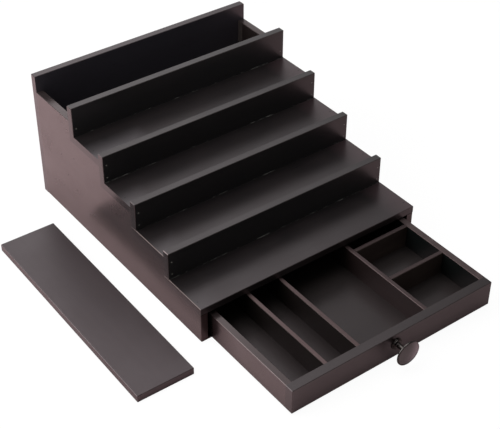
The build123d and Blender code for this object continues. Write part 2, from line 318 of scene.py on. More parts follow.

# %% [markdown]
# ## Places with another tone
#
# A few places have a tone of their own: dust on an edge, and painted light, painted shade and painted
# highlights where the light falls unevenly, such as on the seat of the lid and the ends of the treads. Each
# place is a box with a frayed, soft border. The smallest of the three distances to the box's sides is
# positive inside it, noise is added to fray it, and a ramp makes the border soft. A painted mask would do the
# same, but a box in millimetres can be read and changed.

# %% Group: tone region
FRAYS_PER_METRE = 90.0

region_group, given, result = start_group(
    "tone_region", BOX_SOCKETS + [("Fray", NUMBER, 1.0 * MM), ("Soft", NUMBER, 0.4 * MM)], ["Mask"])
tree = region_group
x_gap, y_gap, z_gap = distances_inside(tree, given)
inside = maths(tree, "MINIMUM", maths(tree, "MINIMUM", x_gap, y_gap), z_gap)
frays = noise(tree, given["Position"], FRAYS_PER_METRE, detail=4.0, roughness=0.6)
frayed = maths(tree, "SUBTRACT", frays, 0.5)
inside = maths(tree, "MULTIPLY_ADD", frayed, given["Fray"], inside)
feed(tree, result["Mask"], remap(tree, inside, 0.0, given["Soft"]))

# %% [markdown]
# ## The sprayed film
#
# A sprayed coat is never quite even. It clouds over some centimetres, which changes how brown and how shiny
# the board looks, and it has a faint orange-peel skin. A little dust settles in it too: a cell texture
# scatters points, and a speck lies at every fifth of them. One group gives the three masks.

# %% Group: lacquer film
CLOUDS_PER_METRE = 24.0
CLOUD_LEVELS = (0.3, 0.7)
PEEL_PER_METRE = 520.0
SPECK_CELLS_PER_METRE = 95.0
SPECK_RADII = (0.045, 0.02)
CLEAN_SHARE = 0.8

film_group, given, result = start_group(
    "lacquer_film", [("Vector", VECTOR, None)], ["Clouds", "Peel", "Specks"])
tree = film_group
clouds = noise(tree, given["Vector"], CLOUDS_PER_METRE, detail=3.0)
cells = add(tree, "ShaderNodeTexVoronoi", feature="F1")
feed_named(tree, cells, Vector=given["Vector"], Scale=SPECK_CELLS_PER_METRE)
speck_size = remap(tree, cells.outputs["Distance"], *SPECK_RADII)
cell_hue = feed_all(tree, add(tree, "ShaderNodeSeparateColor"), (cells.outputs["Color"],))
is_dusty = maths(tree, "GREATER_THAN", cell_hue.outputs[0], CLEAN_SHARE)
feed(tree, result["Clouds"], remap(tree, clouds, *CLOUD_LEVELS))
feed(tree, result["Peel"], noise(tree, given["Vector"], PEEL_PER_METRE, detail=1.0))
feed(tree, result["Specks"], maths(tree, "MULTIPLY", speck_size, is_dusty))

# %% [markdown]
# ## The colours of the lacquer
#
# The boards were sprayed at different times and on different woods, so no two blacks are alike: some lean to
# brown, some to green. The blue blacks of the back panel and the top riser are a painted sheen. All are so
# dark that the difference only shows next to one another. Some lighter and darker colours below are painted
# light and shade: highlights on arrises, light on the lid's seat, on the compartment's right wall and on the
# treads' ends, and shade inside the drawer. The tint colours what the lacquer mirrors, because the film
# itself is a little brown. Each colour is red, green, blue and alpha, in linear values.

# %% Colours of wood and lacquer
DEEP_BROWN = (0.0042, 0.0034, 0.0035, 1.0)
WARM_BROWN = (0.010, 0.0058, 0.0052, 1.0)
COOL_BLACK = (0.0046, 0.0045, 0.0049, 1.0)
# A painted sheen: the back panel is lighter and bluer.
BLUE_SHEEN_BLACK = (0.047, 0.044, 0.054, 1.0)
# A painted sheen: the top riser is lighter than the others.
SHEEN_HAZE_BLACK = (0.0090, 0.0108, 0.0110, 1.0)
# Also a painted shade on the inner face of the drawer's right side.
GREEN_BLACK = (0.0042, 0.0064, 0.0062, 1.0)
# A painted shade on the inner face of the drawer's left side.
INSIDE_SHADE_BLACK = (0.0075, 0.0070, 0.0066, 1.0)
FLOOR_BLACK = (0.0125, 0.0112, 0.0105, 1.0)
LID_BROWN = (0.0130, 0.0092, 0.0104, 1.0)
RAW_BROWN = (0.0085, 0.0062, 0.0056, 1.0)
CROSS_BROWN = (0.055, 0.043, 0.034, 1.0)
SHADOW_BROWN = (0.0052, 0.0048, 0.0040, 1.0)
EDGE_BROWN = (0.011, 0.0085, 0.0083, 1.0)
# A painted highlight, for edges and arrises.
ARRIS_HIGHLIGHT = (0.055, 0.040, 0.037, 1.0)
# Painted light on the side panels' tops, at the lid's seat.
SEAT_LIGHT = (0.034, 0.027, 0.027, 1.0)
# Painted light on the compartment's right inner wall, and a lit strip in its back corner.
INNER_WALL_LIGHT = (0.022, 0.0165, 0.015, 1.0)
CORNER_LIGHT_STRIP = (0.075, 0.062, 0.057, 1.0)
DUSTY_BROWN = (0.085, 0.064, 0.064, 1.0)
# A painted highlight on the left top arrises of two treads and a riser.
LEFT_ARRIS_HIGHLIGHT = (0.22, 0.175, 0.165, 1.0)
# Painted light and sheen on the treads' ends: greyer at the left, pinker at the right.
GREY_END_SHEEN = (0.060, 0.055, 0.059, 1.0)
PINK_END_SHEEN = (0.055, 0.032, 0.036, 1.0)
SPECK_GREY = (0.10, 0.09, 0.09, 1.0)
NEUTRAL_TINT = (1.0, 0.84, 0.88, 1.0)
PINK_TINT = (1.0, 0.70, 0.72, 1.0)
LID_TINT = (1.0, 0.79, 0.85, 1.0)
BACK_TINT = (1.0, 0.74, 0.78, 1.0)
print("red, from", DEEP_BROWN[0], "to", LEFT_ARRIS_HIGHLIGHT[0])

# %% [markdown]
# ## The lacquer, part one: colour
#
# The finish is a nearly black brown under a satin top coat. The colour is laid on in steps: the brown that
# follows the figure and the clouds, the cut edges that drank more of it, the dark pores, a painted highlight
# on edges and arrises, patches of painted light, painted shade and dust, and dust specks on top. Every step
# is a Mix node with a mask from one of the groups.

# %% Lacquer colour
def inverse(tree, value):
    """One minus a value, which turns a mask around."""
    return maths(tree, "SUBTRACT", 1.0, value)


def blend(tree, factor, first, second, blend_type="MIX"):
    """A Mix node for colours."""
    node = add(tree, "ShaderNodeMix", data_type="RGBA", blend_type=blend_type)
    return feed_named(tree, node, Factor=factor, A=first, B=second).outputs["Result"]


FIGURE_SHARE = 0.6
PORE_SHARE = 0.5
EDGE_SHARE = 0.8
ARRIS_HIGHLIGHT_SHARE = 0.6


def patch_amount(tree, place, patch, faces):
    """How strongly a patch of another tone shows, over the surface."""
    region = place_group(tree, region_group, Position=place["Object"], Low=patch["low"], High=patch["high"],
                         Fray=patch["fray"] * MM, Soft=patch["soft"] * MM)
    amount = maths(tree, "MULTIPLY", region["Mask"], patch["share"])
    if patch["faces_only"]:
        amount = maths(tree, "MULTIPLY", amount, inverse(tree, faces["Cut Edge"]))
    return amount


def lacquer_colour(tree, place, box, patterns, look, patch_list):
    """The base colour of a board. The patch list holds each patch of dust, painted light and painted shade
    with its amount.
    """
    grain, film, faces = patterns
    brown = maths(tree, "MULTIPLY", grain["Figure"], FIGURE_SHARE)
    brown = maths(tree, "ADD", brown, maths(tree, "MULTIPLY", film["Clouds"], 1.0 - FIGURE_SHARE))
    brown = maths(tree, "MULTIPLY", brown, 2.0 * look["warmth"], clamp=True)
    colour = blend(tree, brown, look["deep"], WARM_BROWN)
    colour = blend(tree, maths(tree, "MULTIPLY", faces["Cut Edge"], look["edge_tone"]), colour, look["edge"])
    colour = blend(tree, maths(tree, "MULTIPLY", grain["Pores"], PORE_SHARE), colour, DEEP_BROWN)
    edges = place_group(tree, edge_group, Position=place["Object"], Low=box[0], High=box[1],
                        Width=look["edge_width"] * MM)
    # A lighter colour along edges and arrises: a painted highlight.
    arris = maths(tree, "MAXIMUM", maths(tree, "MULTIPLY", edges["Edge"], EDGE_SHARE), faces["Arris"])
    colour = blend(tree, maths(tree, "MULTIPLY", arris, ARRIS_HIGHLIGHT_SHARE), colour, ARRIS_HIGHLIGHT)
    for patch, amount in patch_list:
        colour = blend(tree, amount, colour, patch["tone"])
    return blend(tree, film["Specks"], colour, SPECK_GREY)


print("share of the figure:", FIGURE_SHARE)

# %% [markdown]
# ## The lacquer, part two: sheen
#
# Almost all that the eye sees of this finish is reflection, so the Principled shader's coat does most of the
# work, and its roughness decides how soft the mirror images of the other boards are. The clouds and fibres
# make both uneven. On end grain the lacquer soaked in, so no coat is left there and the base has a roughness
# of its own. Some patches are dull, such as the drawer's left side next to the case, which also gets a
# painted shade.

# %% Lacquer sheen
CLOUD_ROUGHNESS = 0.06
CLOUD_DULLNESS = 0.10
FIGURE_GLOSS = 0.15


def lacquer_roughness(tree, patterns, look):
    """The roughness under the coat, streaked along the fibres."""
    grain, film, faces = patterns
    middle = look["roughness"] - look["streaks"] / 2
    rough = maths(tree, "MULTIPLY_ADD", grain["Fibres"], look["streaks"], middle)
    rough = maths(tree, "MULTIPLY_ADD", film["Clouds"], CLOUD_ROUGHNESS, rough)
    if look["end_roughness"]:
        rough = remap(tree, faces["End"], 0.0, 1.0, rough, look["end_roughness"])
    return rough


def lacquer_coat(tree, patterns, look, patch_list):
    """The weight of the coat, less in clouds, in dull patches and on thinly sprayed edges."""
    grain, film, faces = patterns
    coat = maths(tree, "MULTIPLY_ADD", film["Clouds"], -CLOUD_DULLNESS, look["gloss"])
    coat = maths(tree, "MULTIPLY_ADD", grain["Figure"], FIGURE_GLOSS, coat)
    for patch, amount in patch_list:
        if patch["dull"]:
            coat = maths(tree, "MULTIPLY", coat, inverse(tree, amount))
    if look["end_roughness"]:
        coat = maths(tree, "MULTIPLY", coat, inverse(tree, faces["End"]))
    if look["edge_coat"] < 1.0:
        thin_coat = maths(tree, "MULTIPLY", coat, look["edge_coat"])
        coat = remap(tree, faces["Cut Edge"], 0.0, 1.0, coat, thin_coat)
    return coat


print("clouds dull the coat by", CLOUD_DULLNESS)

# %% [markdown]
# ## The lacquer, part three: relief
#
# The fibres, the pores and the orange peel are far too fine to model, so they bend the shading normal
# through a Bump node. The same node can lean a whole board: a thin board cups a little as it dries, too
# little to see in its outline, but enough to move the mirror image on a glossy face. A height that grows
# evenly with Z turns every normal of an upright face by the same small angle.

# %% Lacquer relief
def emboss(tree, shader, height, strength, distance):
    """Lets a height bend the shader's normal through a Bump node."""
    bump = add(tree, "ShaderNodeBump")
    feed_named(tree, bump, Height=height, Strength=strength, Distance=distance)
    feed_named(tree, shader, Normal=bump.outputs[0])


PEEL_SHARE = 0.35
RELIEF_DEPTH = 0.12 * MM


def lacquer_height(tree, place, patterns, look):
    """The height of the skin, in units of RELIEF_DEPTH."""
    grain, film, _ = patterns
    height = maths(tree, "MULTIPLY_ADD", film["Peel"], PEEL_SHARE, grain["Height"])
    height = maths(tree, "MULTIPLY", height, look["relief"])
    if look["lean"]:
        slope = -tan(radians(look["lean"])) / RELIEF_DEPTH
        height = maths(tree, "MULTIPLY_ADD", split(tree, place["Object"])[2], slope, height)
    return height


print("relief in metres:", RELIEF_DEPTH)

# %% [markdown]
# ## A material for each board
#
# Each board gets its own material from one function, because no two boards share a grain: the Mapping node
# turns the pattern along the board and moves it to a place of its own. A board starts from the plain look
# below, and a later step lists what differs. Deep is its darkest tone and edge that of its cut edges. Warmth,
# streaks and relief say how strongly the grain shows, and lean is in degrees. A value that is the same all
# over the board, such as the roughness of the coat, is set on the shader's own socket.

# %% One board's lacquer
def start_finish(name):
    """Starts a material. Returns it with its node tree, its Principled shader and its coordinates."""
    material = bpy.data.materials.new(name)
    material.use_nodes = True
    tree = material.node_tree
    return material, tree, tree.nodes["Principled BSDF"], add(tree, "ShaderNodeTexCoord").outputs


PLAIN_LOOK = {
    "warmth": 0.25, "deep": COOL_BLACK, "tint": NEUTRAL_TINT, "edge": EDGE_BROWN, "edge_tone": 0.5,
    "edge_width": 0.45, "edge_coat": 1.0, "roughness": 0.29, "streaks": 0.05, "gloss": 0.35,
    "coat_roughness": 0.27, "level": 0.8, "end_roughness": None, "relief": 0.25, "lean": 0.0, "patch_list": (),
}
COAT_IOR = 1.5
PATTERN_STEP = (0.37, 0.11, 0.23)
TURNS = {"X": (0.0, 0.0, 0.0), "Y": (0.0, 0.0, pi / 2), "Z": (0.0, pi / 2, 0.0)}
AXES = {"X": (1.0, 0.0, 0.0), "Y": (0.0, 1.0, 0.0), "Z": (0.0, 0.0, 1.0)}


def board_patterns(tree, place, grain_letter, thin_letter, number):
    """The outputs of the grain, film and face groups, turned along one board."""
    mapping = add(tree, "ShaderNodeMapping", label="grain direction", vector_type="TEXTURE")
    location = [step * number for step in PATTERN_STEP]
    feed_named(tree, mapping, Vector=place["Object"], Rotation=TURNS[grain_letter], Location=location)
    turned = mapping.outputs[0]
    faces = place_group(tree, face_group, Normal=place["Normal"], Thin_Axis=AXES[thin_letter],
                        Grain_Axis=AXES[grain_letter], Vector=turned)
    return place_group(tree, grain_group, Vector=turned), place_group(tree, film_group, Vector=turned), faces


def lacquered_board(name, grain_letter, thin_letter, number, **differences):
    """The satin lacquer of one board, with its grain and thin axis named by letter."""
    look = {**PLAIN_LOOK, **differences}
    material, tree, shader, place = start_finish("lacquer_" + name)
    patterns = board_patterns(tree, place, grain_letter, thin_letter, number)
    patch_list = [(patch, patch_amount(tree, place, patch, patterns[2])) for patch in look["patch_list"]]
    feed_named(
        tree, shader,
        Base_Color=lacquer_colour(tree, place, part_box(name), patterns, look, patch_list),
        Roughness=lacquer_roughness(tree, patterns, look),
        Coat_Weight=lacquer_coat(tree, patterns, look, patch_list),
        Coat_Roughness=look["coat_roughness"], Coat_IOR=COAT_IOR,
        Specular_Tint=look["tint"], Specular_IOR_Level=look["level"])
    emboss(tree, shader, lacquer_height(tree, place, patterns, look), 1.0, RELIEF_DEPTH)
    return material


print("values in a board's look:", len(PLAIN_LOOK))

# %% [markdown]
# ## The patches of these boards
#
# Each place is given by its spans along X, Y and Z in metres, measured from the middle of the case on the
# table, and follows the photograph: painted light on the lid's seat on top of the two side panels, a painted
# light strip and a lighter wall in the compartment's right inner corner, painted light on the treads' ends, a
# painted highlight on some left arrises, and painted shade on the drawer's inner faces and on its left side
# next to the case. Dust lies on the top of the drawer's right side. FAR stands for no limit, because it lies
# beyond every board.

# %% Places with another tone
FAR = 1.0
ANYWHERE = (-FAR, FAR)
ARRIS_REACH = 0.9 * MM
TREAD_MIDDLE = 0.034
SEAT_UNDERSIDE = 0.1444
INNER_FACE_X = (0.10, 0.1414)
BACK_CORNER_Y = 0.1612
DRAWER_SIDE_Z = (0.0, 0.0335)


def tone_patch(tone, x=ANYWHERE, y=ANYWHERE, z=ANYWHERE, share=0.8, fray=0.5, soft=0.4, faces_only=False,
               dull=False):
    """A part of a board with another tone. Its fray and softness are in millimetres."""
    low, high = zip(x, y, z)
    return {"tone": tone, "low": low, "high": high, "share": share, "fray": fray, "soft": soft,
            "faces_only": faces_only, "dull": dull}


def left_arris_highlight(node_name):
    """A painted highlight along the left top edge of a board."""
    low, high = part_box(node_name)
    return tone_patch(LEFT_ARRIS_HIGHLIGHT, x=(-FAR, low[0] + ARRIS_REACH), z=(high[2] - ARRIS_REACH, FAR), share=0.9,
                      fray=0.7)


def lit_left_end(node_name, reach, share):
    """Painted light on the left end of a tread, from its front edge to its middle."""
    low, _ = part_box(node_name)
    return tone_patch(GREY_END_SHEEN, x=(-FAR, low[0] + reach), y=(-FAR, low[1] + TREAD_MIDDLE), z=(0.0, FAR),
                      share=share, fray=8.0, soft=28.0, faces_only=True)


# Painted light: the right ends of the treads are lighter and pinker.
RIGHT_END_LIGHT = tone_patch(PINK_END_SHEEN, x=(0.116, FAR), z=(0.0, FAR), share=0.7, fray=8.0, soft=30.0,
                       faces_only=True)
# Painted light: the side panels' tops are lighter where the lid sits.
LIT_SEAT = tone_patch(SEAT_LIGHT, y=(0.088, FAR), z=(SEAT_UNDERSIDE, FAR), fray=1.5)
# Painted light: a lit strip in the back corner of the compartment's right inner wall, and the wall lighter.
LIT_INNER_CORNER = tone_patch(CORNER_LIGHT_STRIP, INNER_FACE_X, (0.1520, BACK_CORNER_Y), (0.0, SEAT_UNDERSIDE))
LIT_INNER_FACE = tone_patch(INNER_WALL_LIGHT, INNER_FACE_X, (0.0875, BACK_CORNER_Y), (0.0, SEAT_UNDERSIDE))
# Painted shade: the drawer's left side is darker next to the case, and its coat is taken off there.
CASE_SHADE = tone_patch(DEEP_BROWN, x=(-FAR, -0.10), y=(-0.220, FAR), share=0.95, fray=3.0, soft=40.0,
                          faces_only=True, dull=True)
# Painted shade: the inner faces of the drawer's sides are darker.
LEFT_INSIDE_SHADE = tone_patch(INSIDE_SHADE_BLACK, x=(-0.1307, -0.1290), z=DRAWER_SIDE_Z, share=0.9, fray=0.3)
RIGHT_INSIDE_SHADE = tone_patch(GREEN_BLACK, x=(0.1290, 0.1307), z=DRAWER_SIDE_Z, share=0.9, fray=0.3)
DUSTY_TOP = tone_patch(DUSTY_BROWN, x=(0.0, FAR), z=(0.0339, FAR), share=1.0, fray=0.3)
print("seat patch from", LIT_SEAT["low"], "to", LIT_SEAT["high"])

# %% [markdown]
# ## What differs from board to board
#
# The values below are chosen from the photograph. The side panels, the drawer's sides and the lid
# came out warmer than the treads. The lid and the upper treads are more matt.

# %% The looks of the boards
LIT_END_REACH = 0.034
TOP_LIT_END_REACH = 0.075

LOOKS = {
    "left_side_panel": {
        "warmth": 0.6, "deep": DEEP_BROWN, "tint": PINK_TINT, "roughness": 0.22, "coat_roughness": 0.2,
        "gloss": 0.45, "edge_tone": 0.1, "end_roughness": 0.3, "relief": 0.05, "streaks": 0.0, "lean": 3.5,
        "patch_list": (LIT_SEAT,)},
    "right_side_panel": {
        "warmth": 0.6, "deep": DEEP_BROWN, "tint": PINK_TINT, "streaks": 0.0,
        "patch_list": (LIT_SEAT, LIT_INNER_FACE, LIT_INNER_CORNER)},
    "back_panel": {"warmth": 0.1, "edge_tone": 0.7, "deep": BLUE_SHEEN_BLACK, "tint": BACK_TINT},
    "compartment_lid": {
        "warmth": 0.3, "deep": LID_BROWN, "tint": LID_TINT, "gloss": 0.4, "roughness": 0.34,
        "coat_roughness": 0.33, "relief": 0.1, "streaks": 0.02, "edge_width": 0.0, "edge_coat": 0.2},
    "tread_1": {
        "gloss": 0.25,
        "patch_list": (lit_left_end("tread_1", LIT_END_REACH, 0.4), RIGHT_END_LIGHT, left_arris_highlight("tread_1"))},
    "tread_2": {
        "gloss": 0.3,
        "patch_list": (lit_left_end("tread_2", LIT_END_REACH, 0.5), RIGHT_END_LIGHT, left_arris_highlight("tread_2"))},
    "tread_3": {
        "roughness": 0.32, "coat_roughness": 0.30,
        "patch_list": (lit_left_end("tread_3", LIT_END_REACH, 0.6), RIGHT_END_LIGHT)},
    "tread_4": {
        "roughness": 0.33, "coat_roughness": 0.32,
        "patch_list": (lit_left_end("tread_4", TOP_LIT_END_REACH, 1.0), RIGHT_END_LIGHT)},
    "riser_1": {"deep": GREEN_BLACK, "warmth": 0.05, "patch_list": (left_arris_highlight("riser_1"),)},
    "riser_2": {"deep": GREEN_BLACK, "warmth": 0.05},
    "riser_3": {"deep": GREEN_BLACK, "warmth": 0.05},
    "riser_4": {"deep": SHEEN_HAZE_BLACK, "warmth": 0.0},
    "drawer_front": {"warmth": 0.4, "deep": DEEP_BROWN, "gloss": 0.42},
    "drawer_left_side": {
        "warmth": 0.5, "deep": DEEP_BROWN, "tint": PINK_TINT, "gloss": 0.72, "streaks": 0.02,
        "roughness": 0.22, "coat_roughness": 0.2, "relief": 0.12, "patch_list": (CASE_SHADE, LEFT_INSIDE_SHADE)},
    "drawer_right_side": {
        "warmth": 0.1, "deep": DEEP_BROWN, "tint": PINK_TINT, "level": 0.4, "gloss": 0.0,
        "patch_list": (RIGHT_INSIDE_SHADE, DUSTY_TOP)},
    "drawer_bottom": {"warmth": 0.2, "roughness": 0.3, "gloss": 0.1, "deep": FLOOR_BLACK, "level": 0.62},
}
for step in range(1, 5):
    for kind in ("tread_", "riser_"):
        LOOKS[kind + str(step)]["end_roughness"] = 0.22
print("looks listed:", len(LOOKS))

# %% [markdown]
# ## Sawn edges
#
# The sawn top edges of the dividers took the least lacquer, so each has a tone of its own. The list gives
# its red. Green and blue are weaker, as on bare wood.

# %% The sawn edges of the dividers
SAWN_WARMTH = 0.7
SAWN_TONES = {
    "long_divider_1": 0.11, "long_divider_2": 0.085, "long_divider_3": 0.018, "cross_divider_1": 0.005,
    "cross_divider_2": 0.004, "cross_divider_3": 0.010, "drawer_back": 0.020,
}
SAWN_FACES = {"long_divider_1": SHADOW_BROWN, "long_divider_2": SHADOW_BROWN, "long_divider_3": RAW_BROWN}
for board_name, tone in SAWN_TONES.items():
    weaker = SAWN_WARMTH * tone
    LOOKS[board_name] = {
        "warmth": 0.5, "edge_tone": 0.9, "roughness": 0.42, "gloss": 0.1, "tint": PINK_TINT,
        "deep": SAWN_FACES.get(board_name, CROSS_BROWN), "edge": (tone, weaker, weaker, 1.0)}
for board_name in ("long_divider_1", "long_divider_2"):
    LOOKS[board_name].update({"warmth": 0.1, "level": 0.45, "gloss": 0.0})
print("boards with sawn edges:", len(SAWN_TONES))

# %% [markdown]
# ## Which way each board runs
#
# A joiner cuts every board with its grain along its length. That direction and the thin axis can both be
# read from the CAD node's own box: the longest side is the grain, the shortest the thickness. The number of
# the board moves its pattern, so that no two boards look as if they were cut from one place.

# %% Dress the boards
def dress(node_name, material):
    """Gives a CAD node one material in place of what it came with."""
    mesh = frame["nodes"][node_name].data
    mesh.materials.clear()
    mesh.materials.append(material)


def letters_by_length(node_name):
    """The axis letters of a node's box, from the shortest side to the longest."""
    low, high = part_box(node_name)
    spans = {letter: high[n] - low[n] for n, letter in enumerate("XYZ")}
    return sorted(spans, key=spans.get)


subparts = frame["record"]["subparts"]
boards = [row["node"] for row in subparts if row["material_slot"] == "lacquered_wood"]
for number, name in enumerate(boards, start=1):
    thin, _, longest = letters_by_length(name)
    dress(name, lacquered_board(name, longest, thin, number, **LOOKS.get(name, {})))
    print(name, "grain along", longest, "thin along", thin)

# %% [markdown]
# ## Metal: the screw and the brads
#
# The knob's screw and washer are zinc-plated, with fine turning lines that catch the light. The brads were
# driven flush and sprayed over, so most can hardly be found. Those in the risers were sunk and filled, and
# the dull filler shows as small light specks near the risers' ends. The lines are a group, and one function
# makes all of these, because they differ only in colour, roughness and whether they are metal.

# %% Metal finishes
TURNING_LINES_PER_METRE = (700.0, 700.0, 4200.0)
LINE_ROUGHNESS = 0.12
LINE_STRENGTH = 0.25
LINE_DEPTH = 0.02 * MM
ZINC_GREY = (0.56, 0.55, 0.53, 1.0)
SPRAYED_BLACK = (0.008, 0.0065, 0.006, 1.0)
FILLER_GREY = (0.32, 0.31, 0.28, 1.0)
FILLER_SPECULAR = 0.1

line_group, given, result = start_group("turning_lines", [("Vector", VECTOR, None)], ["Lines"])
lines = stretched_noise(line_group, given["Vector"], TURNING_LINES_PER_METRE)
feed(line_group, result["Lines"], lines)


def metal(name, colour, roughness, metallic=1.0):
    """A metal finish with fine turning lines."""
    material, tree, shader, place = start_finish(name)
    lines = place_group(tree, line_group, Vector=place["Object"])["Lines"]
    rough = maths(tree, "MULTIPLY_ADD", lines, LINE_ROUGHNESS, roughness - LINE_ROUGHNESS / 2)
    feed_named(tree, shader, Base_Color=colour, Roughness=rough, Metallic=metallic)
    emboss(tree, shader, lines, LINE_STRENGTH, LINE_DEPTH)
    return material


zinc = metal("zinc_plate", ZINC_GREY, roughness=0.34)
sprayed_brad = metal("sprayed_brad", SPRAYED_BLACK, roughness=0.42, metallic=0.0)
filled_brad = metal("filled_brad", FILLER_GREY, roughness=0.9, metallic=0.0)
filler_shader = filled_brad.node_tree.nodes["Principled BSDF"]
filler_shader.inputs["Specular IOR Level"].default_value = FILLER_SPECULAR
print("metal finishes:", zinc.name, sprayed_brad.name, filled_brad.name)

# %% [markdown]
# ## Bronze: the knob
#
# The knob is turned metal with a dark bronze lacquer. Its head gets a painted highlight, lighter towards the
# lower right, and a painted shade on the other side, where the groove, which also holds patina, and the rim
# stay dark. How far a point lies towards the highlight drives both, and its distance from the axis finds the
# groove and the rim.

# %% Bronze finish
STEM_BRONZE = (0.068, 0.060, 0.057, 1.0)
FACE_BRONZE = (0.145, 0.140, 0.140, 1.0)
# A painted highlight on the knob's head, lighter towards the lower right.
HIGHLIGHT_BRONZE = (0.50, 0.45, 0.49, 1.0)
GROOVE_BRONZE = (0.03, 0.022, 0.018, 1.0)
HIGHLIGHT_SIDE = (0.86, 0.0, -0.5)
HIGHLIGHT_SPAN = (-7.0 * MM, 15.0 * MM)
HIGHLIGHT_FADE = 1.6
# Patina in the groove, and painted shade on the rim and groove away from the highlight.
PATINA_AND_SHADE_SPAN = (3.0 * MM, -9.0 * MM)
PATINA_AND_SHADE_SHARE = 0.9
GROOVE_RADIUS = 13.8 * MM
GROOVE_BORDER = (0.55 * MM, 0.25 * MM)
RIM_BORDER = (14.2 * MM, 14.5 * MM)
HEAD_BORDER = (7.5 * MM, 6.5 * MM)

knob_bronze = metal("knob_bronze", STEM_BRONZE, roughness=0.24)
tree = knob_bronze.node_tree
place = add(tree, "ShaderNodeTexCoord").outputs["Object"]
low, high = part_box("drawer_knob")
from_middle = vector_maths(tree, "SUBTRACT", place, [(low[n] + high[n]) / 2 for n in range(3)])
towards_highlight = dot(tree, from_middle, HIGHLIGHT_SIDE)
highlight = maths(tree, "POWER", remap(tree, towards_highlight, *HIGHLIGHT_SPAN), HIGHLIGHT_FADE)
face = blend(tree, highlight, FACE_BRONZE, HIGHLIGHT_BRONZE)
from_axis = vector_maths(tree, "MULTIPLY", from_middle, (1.0, 0.0, 1.0))
length = feed_all(tree, add(tree, "ShaderNodeVectorMath", operation="LENGTH"), (from_axis,))
radius = length.outputs["Value"]
from_groove = maths(tree, "ABSOLUTE", maths(tree, "SUBTRACT", radius, GROOVE_RADIUS))
patina_and_shade = remap(tree, towards_highlight, *PATINA_AND_SHADE_SPAN, new_high=PATINA_AND_SHADE_SHARE)
in_groove = maths(tree, "MULTIPLY", remap(tree, from_groove, *GROOVE_BORDER), patina_and_shade)
on_rim = maths(tree, "MULTIPLY", remap(tree, radius, *RIM_BORDER), patina_and_shade)
face = blend(tree, in_groove, face, GROOVE_BRONZE)
face = blend(tree, on_rim, face, STEM_BRONZE)
on_head = remap(tree, split(tree, place)[1], *[low[1] + border for border in HEAD_BORDER])
colour = blend(tree, on_head, STEM_BRONZE, face)
feed_named(tree, tree.nodes["Principled BSDF"], Base_Color=colour)

SLOT_FINISH = {"knob_metal": knob_bronze, "screw_steel": zinc, "brad_steel": sprayed_brad}
NODE_FINISH = {"riser_brads": filled_brad}
for row in subparts:
    finish = NODE_FINISH.get(row["node"], SLOT_FINISH.get(row["material_slot"]))
    if finish:
        dress(row["node"], finish)
        print(row["node"], "is", finish.name)

# %% [markdown]
# ## The profile of the knob
#
# The CAD knob has the right lengths and radii, but its flats and corners are those of a drawing. A real knob
# comes off a lathe: it has a beaded rose, a stem that swells softly into the head, a rounded rim and a face
# that domes without facets. The profile below is a list of stretches in millimetres, each point a radius and
# a distance from the drawer's face. A spline rounds each stretch, and the ends of the stretches stay crisp.

# %% Draw the profile
KNOB_PROFILE = [
    [(0.0, 8.7), (1.9, 8.7)],
    [(1.9, 8.7), (1.9, 0.0)],
    [(1.9, 0.0), (6.6, 0.0)],
    [(6.6, 0.0), (6.95, 0.2), (7.0, 0.6), (6.9, 1.05), (6.55, 1.25)],
    [(6.55, 1.25), (6.2, 0.95), (5.85, 0.9), (5.6, 1.1), (5.5, 1.5)],
    [(5.5, 1.5), (5.3, 2.05), (4.8, 2.3), (4.2, 2.4)],
    [(4.2, 2.4), (3.5, 2.6), (3.0, 3.1), (2.8, 3.9), (2.8, 12.0), (3.0, 13.0), (3.6, 13.9), (4.8, 14.6)],
    [(4.8, 14.6), (8.0, 15.4), (14.2, 17.1)],
    [(14.2, 17.1), (14.75, 17.25), (15.0, 17.6), (15.0, 18.2)],
    [(15.0, 18.2), (14.85, 18.75), (14.5, 19.0), (14.15, 18.8)],
    [(14.15, 18.8), (13.95, 18.5), (13.7, 18.6)],
]
DOME_RADIUS = 13.7
DOME_FOOT = 18.6
DOME_TOP = 21.4
DOME_RINGS = 9
CURVE_STEPS = 4


def smooth_curve(points):
    """Points on a spline through the given points. A stretch of two points stays straight."""
    if len(points) == 2:
        return points
    knots = [Vector(point) for point in [points[0]] + points + [points[-1]]]
    smooth = [knots[1]]
    for before, start, end, after in zip(knots, knots[1:], knots[2:], knots[3:]):
        for step in range(1, CURVE_STEPS + 1):
            t = step / CURVE_STEPS
            linear = (end - before) * t
            square = (2.0 * before - 5.0 * start + 4.0 * end - after) * t ** 2
            cubic = (3.0 * start - before - 3.0 * end + after) * t ** 3
            smooth.append(0.5 * (2.0 * start + linear + square + cubic))
    return smooth


outline = []
for profile_stretch in KNOB_PROFILE:
    outline += smooth_curve(profile_stretch)
for ring in range(DOME_RINGS + 1):
    share = ring / DOME_RINGS
    rise = (DOME_TOP - DOME_FOOT) * (1.0 - (1.0 - share) ** 2)
    outline.append((DOME_RADIUS * (1.0 - share), DOME_FOOT + rise))
print("points on the outline:", len(outline))

# %% [markdown]
# ## The turned knob
#
# One full spin of that outline round the screw's axis gives the solid, as on a lathe. The spin meets itself
# with use_merge, and the points that lie on the axis are merged. The new knob rides on the drawer's body and
# replaces the CAD node.

# %% Spin the knob
SPIN_STEPS = 96
SAME_POINT = 0.002 * MM
CRISP_ANGLE = radians(35.0)


def new_piece(name, shape, body):
    """Turns a bmesh into an object that rides on a body."""
    mesh = bpy.data.meshes.new(name)
    shape.to_mesh(mesh)
    shape.free()
    piece = bpy.data.objects.new(name, mesh)
    bpy.context.scene.collection.objects.link(piece)
    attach(piece, body)
    return piece


